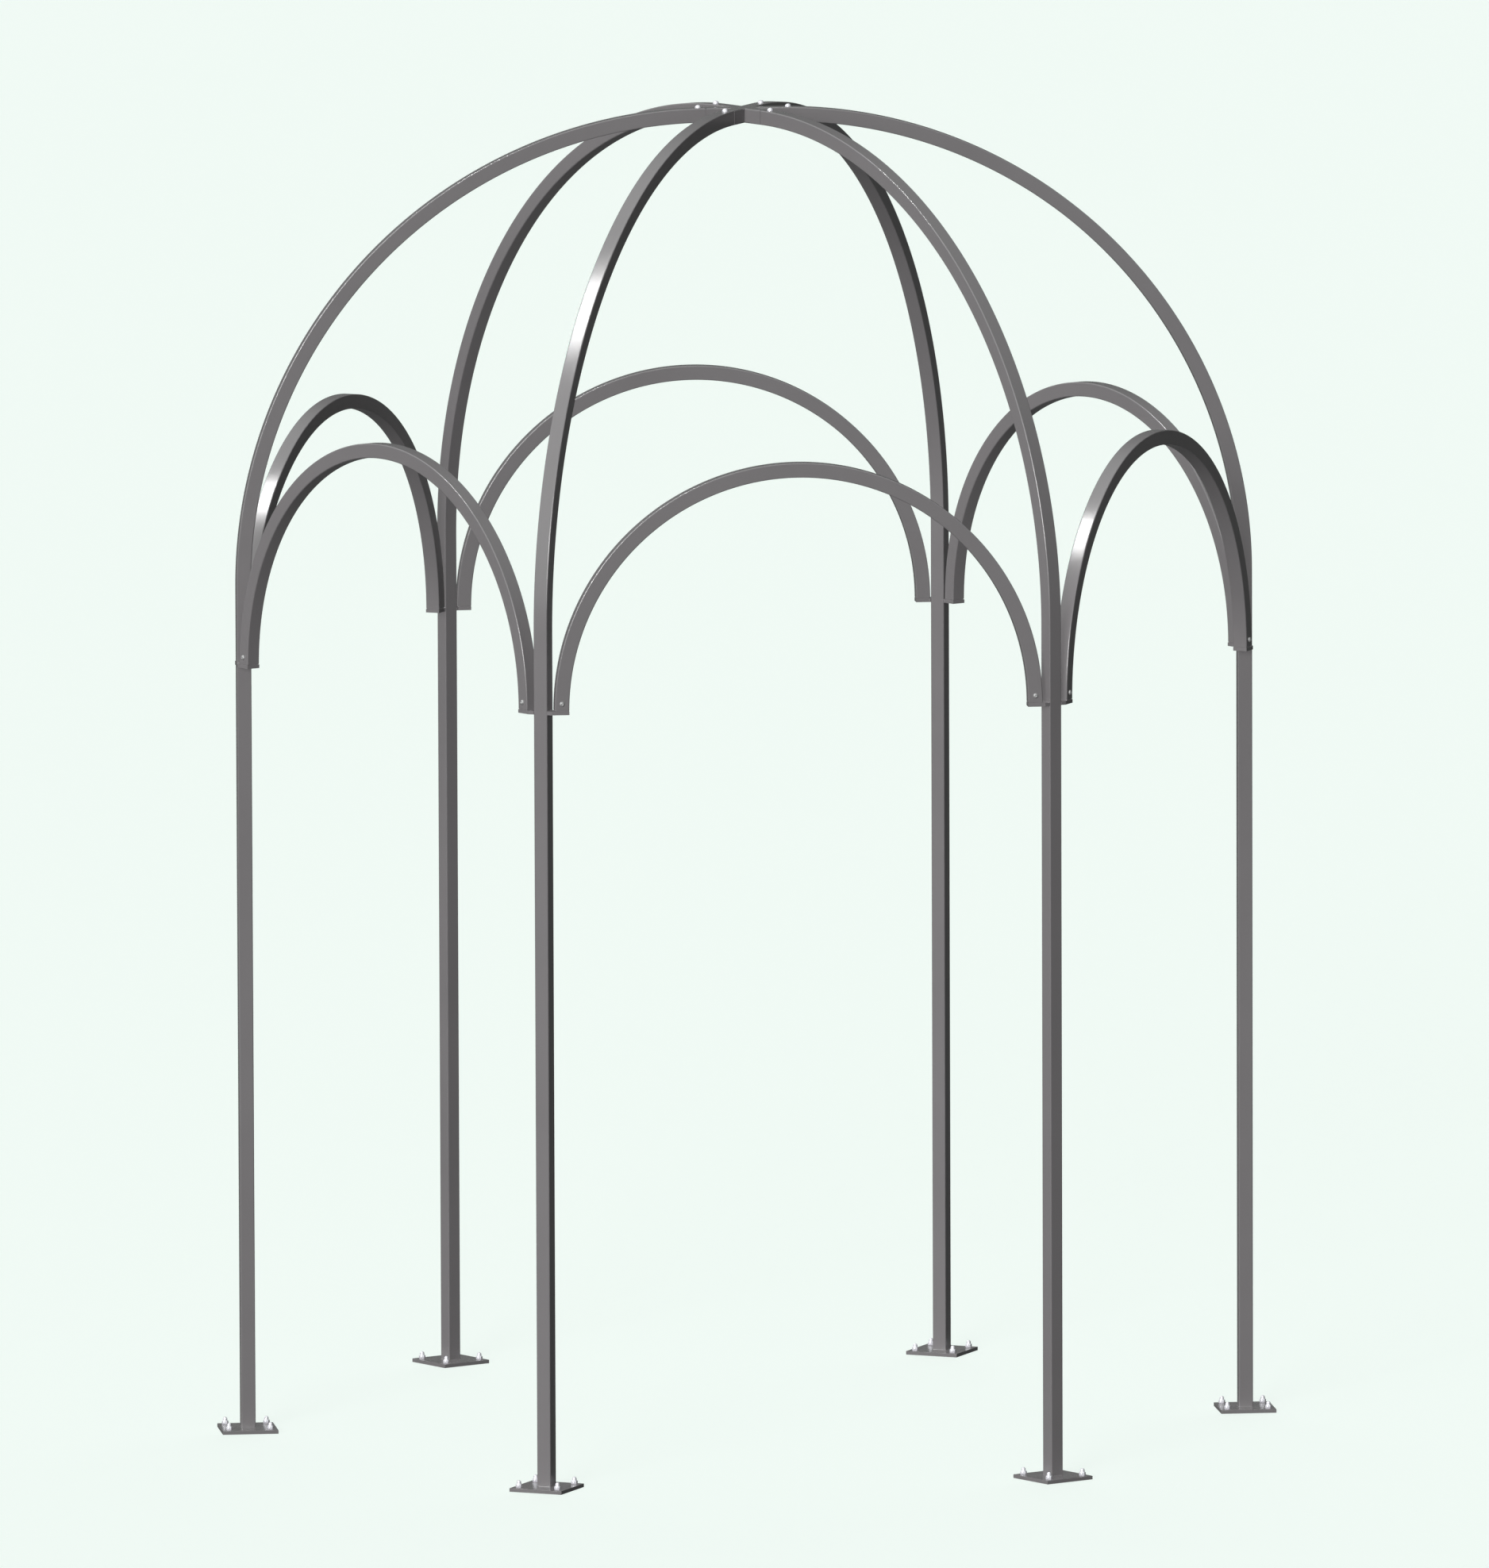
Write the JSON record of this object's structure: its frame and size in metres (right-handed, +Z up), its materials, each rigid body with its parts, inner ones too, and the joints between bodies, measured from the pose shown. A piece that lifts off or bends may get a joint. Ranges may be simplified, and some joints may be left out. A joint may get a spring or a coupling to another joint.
{
  "type": "garden pavilion",
  "caption": "Open hexagonal garden pavilion in painted square steel tube: posts bend over into dome ribs that meet at a crown hub, with round arches between the posts.",
  "frame": {"origin": "on the ground at the middle of the hexagon of posts, under the crown", "axes": "+Z up; +X through the middle of post 1; posts are numbered counter-clockwise from above, and -Y is through the middle of archway 5"},
  "size_m": [2.945, 2.628, 3.665],
  "materials": {
    "painted_steel": "satin powder coat, dark grey",
    "bright_fasteners": "bright zinc or stainless steel"
  },
  "bodies": {
    "root": {"post_rib_1": "painted_steel", "post_rib_2": "painted_steel", "post_rib_3": "painted_steel", "post_rib_4": "painted_steel", "post_rib_5": "painted_steel", "post_rib_6": "painted_steel", "side_arch_1": "painted_steel", "side_arch_2": "painted_steel", "side_arch_3": "painted_steel", "side_arch_4": "painted_steel", "side_arch_5": "painted_steel", "side_arch_6": "painted_steel", "bracket_left_1": "painted_steel", "bracket_left_2": "painted_steel", "bracket_left_3": "painted_steel", "bracket_left_4": "painted_steel", "bracket_left_5": "painted_steel", "bracket_left_6": "painted_steel", "bracket_right_1": "painted_steel", "bracket_right_2": "painted_steel", "bracket_right_3": "painted_steel", "bracket_right_4": "painted_steel", "bracket_right_5": "painted_steel", "bracket_right_6": "painted_steel", "foot_plate_1": "painted_steel", "foot_plate_2": "painted_steel", "foot_plate_3": "painted_steel", "foot_plate_4": "painted_steel", "foot_plate_5": "painted_steel", "foot_plate_6": "painted_steel", "crown_hub": "painted_steel"}
  },
  "joints": []
}
